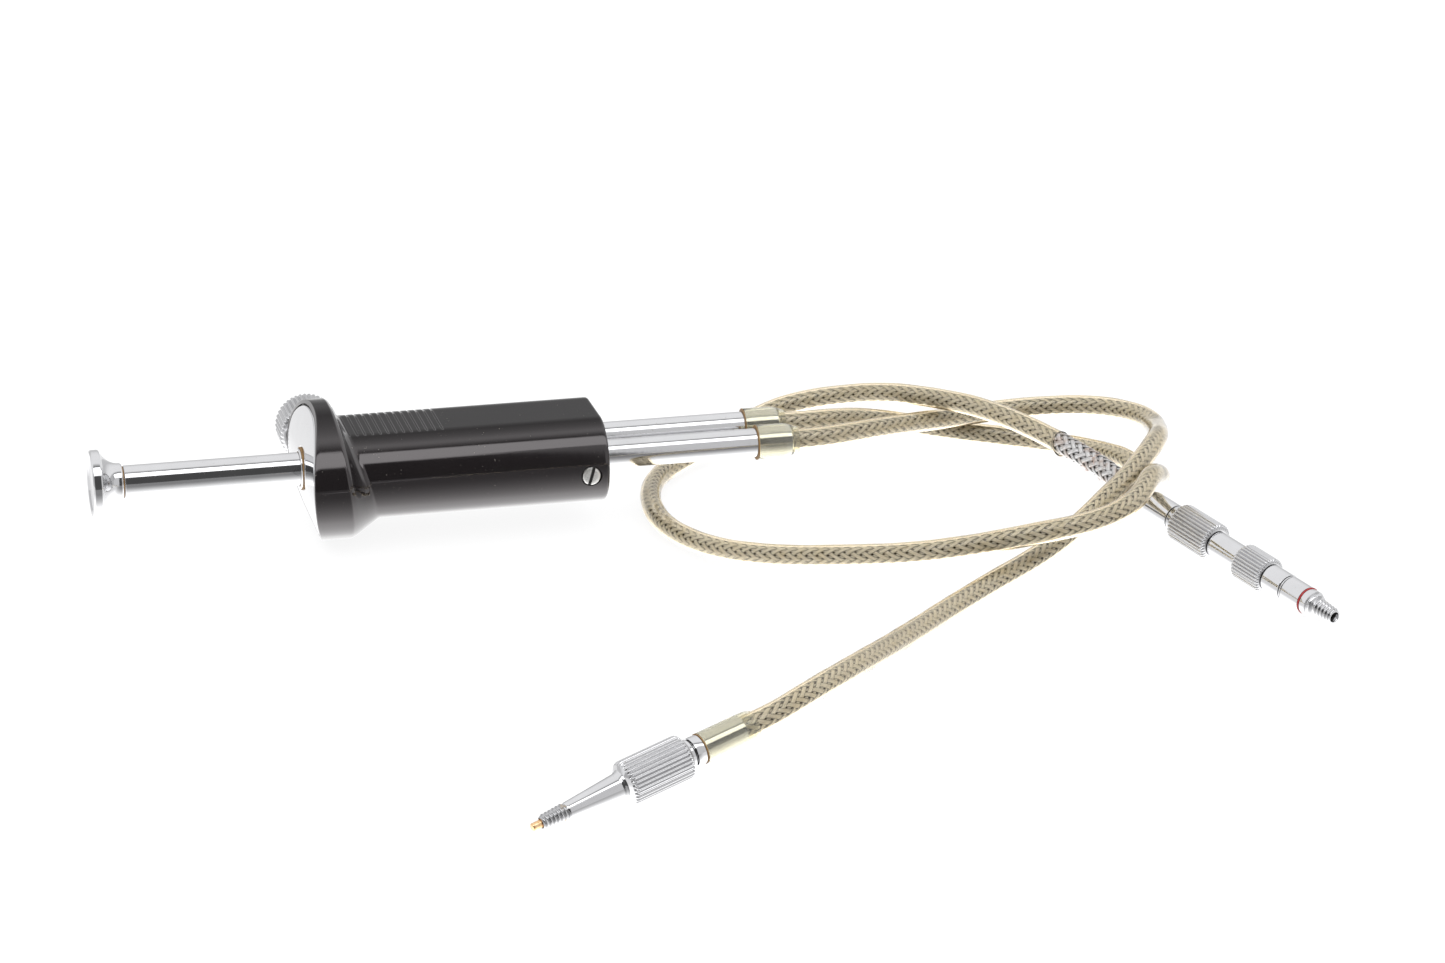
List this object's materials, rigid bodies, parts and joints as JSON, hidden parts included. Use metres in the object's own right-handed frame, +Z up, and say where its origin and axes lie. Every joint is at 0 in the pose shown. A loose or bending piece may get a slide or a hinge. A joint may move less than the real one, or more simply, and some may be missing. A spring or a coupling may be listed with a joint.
{
  "type": "double cable shutter release",
  "caption": "Double cable shutter release: a plunger handle with a lock knob drives two braided, clear-jacketed cables that end in screw-in tips with pins.",
  "frame": {"origin": "centre of the button's press face, on the plunger axis", "axes": "+X along the plunger's travel from the button to the cables, +Y towards the lock knob, +Z up from the table the release lies on"},
  "size_m": [0.2102, 0.1767, 0.0254],
  "materials": {
    "black_plastic": "glossy moulded, finely scratched",
    "chrome": "bright plating, lightly worn",
    "steel": "plain, slightly rusted",
    "brass": "turned",
    "clear_jacket": "clear PVC, yellowed",
    "sleeve": "translucent, yellowed",
    "braid": "herringbone braid, metallic",
    "red_enamel": "enamel",
    "fibre": "pressed fibre"
  },
  "bodies": {
    "handle": {"handle_body": "black_plastic", "end_plate": "chrome", "plunger_bush": "chrome", "clamp_block": "black_plastic", "clamp_screw": "steel", "guide_tube_a": "chrome", "guide_tube_b": "chrome", "end_sleeve_a": "sleeve", "end_sleeve_b": "sleeve", "jacket_a": "clear_jacket", "jacket_b": "clear_jacket", "braid_a": "braid", "braid_b": "braid", "sheath_a": "steel", "sheath_b": "steel", "core_wire_a": "steel", "core_wire_b": "steel", "lock_insert": "brass", "return_spring": "steel", "tip_b_sleeve": "sleeve", "tip_b_ferrule": "chrome", "tip_a_ferrule": "chrome"},
    "plunger": {"plunger_button": "chrome", "plunger_stem": "chrome", "crosshead": "steel", "crosshead_nut": "steel", "push_rod_a": "steel", "push_rod_b": "steel"},
    "lock_knob": {"lock_knob": "chrome", "lock_screw": "steel", "lock_pad": "fibre"},
    "tip_a_head": {"tip_a_grip": "chrome", "tip_a_barrel": "chrome", "tip_a_nose": "chrome", "red_ring": "red_enamel"},
    "tip_a_lock_ring": {"tip_a_lock_ring": "chrome"},
    "tip_a_pin": {"pin_a": "brass"},
    "tip_b_head": {"tip_b_head": "chrome"},
    "tip_b_pin": {"pin_b": "brass"}
  },
  "joints": [
    {"name": "plunger_slide", "type": "slide", "parent": "handle", "child": "plunger", "axis": [1, 0, 0], "range_m": [0, 0.018], "stiffness_N_per_m": 60, "springref_m": -0.01, "deforming": ["return_spring"]},
    {"name": "lock_turn", "type": "hinge", "parent": "handle", "child": "lock_knob", "pos_m": [0.0435, 0.024, 0], "axis": [0, 1, 0], "range_deg": [0, 144]},
    {"name": "pin_a_slide", "type": "slide", "parent": "handle", "child": "tip_a_pin", "axis": [0.3753, -0.915, -0.1478], "range_m": [0, 0.018]},
    {"name": "pin_b_slide", "type": "slide", "parent": "handle", "child": "tip_b_pin", "axis": [-0.9275, -0.314, -0.2028], "range_m": [0, 0.018]},
    {"name": "tip_a_spin", "type": "hinge", "parent": "handle", "child": "tip_a_head", "pos_m": [0.1947, -0.05638, -0.00617], "axis": [0.3753, -0.915, -0.1478], "continuous": true},
    {"name": "tip_a_lock_ring_spin", "type": "hinge", "parent": "tip_a_head", "child": "tip_a_lock_ring", "pos_m": [0.20086, -0.07139, -0.0086], "axis": [0.3753, -0.915, -0.1478], "continuous": true},
    {"name": "tip_b_spin", "type": "hinge", "parent": "handle", "child": "tip_b_head", "pos_m": [0.07394, -0.13991, -0.00735], "axis": [-0.9275, -0.314, -0.2028], "continuous": true}
  ],
  "couplings": [
    {"joint": "pin_a_slide", "follows": "plunger_slide", "ratio": 1},
    {"joint": "pin_b_slide", "follows": "plunger_slide", "ratio": 1}
  ]
}
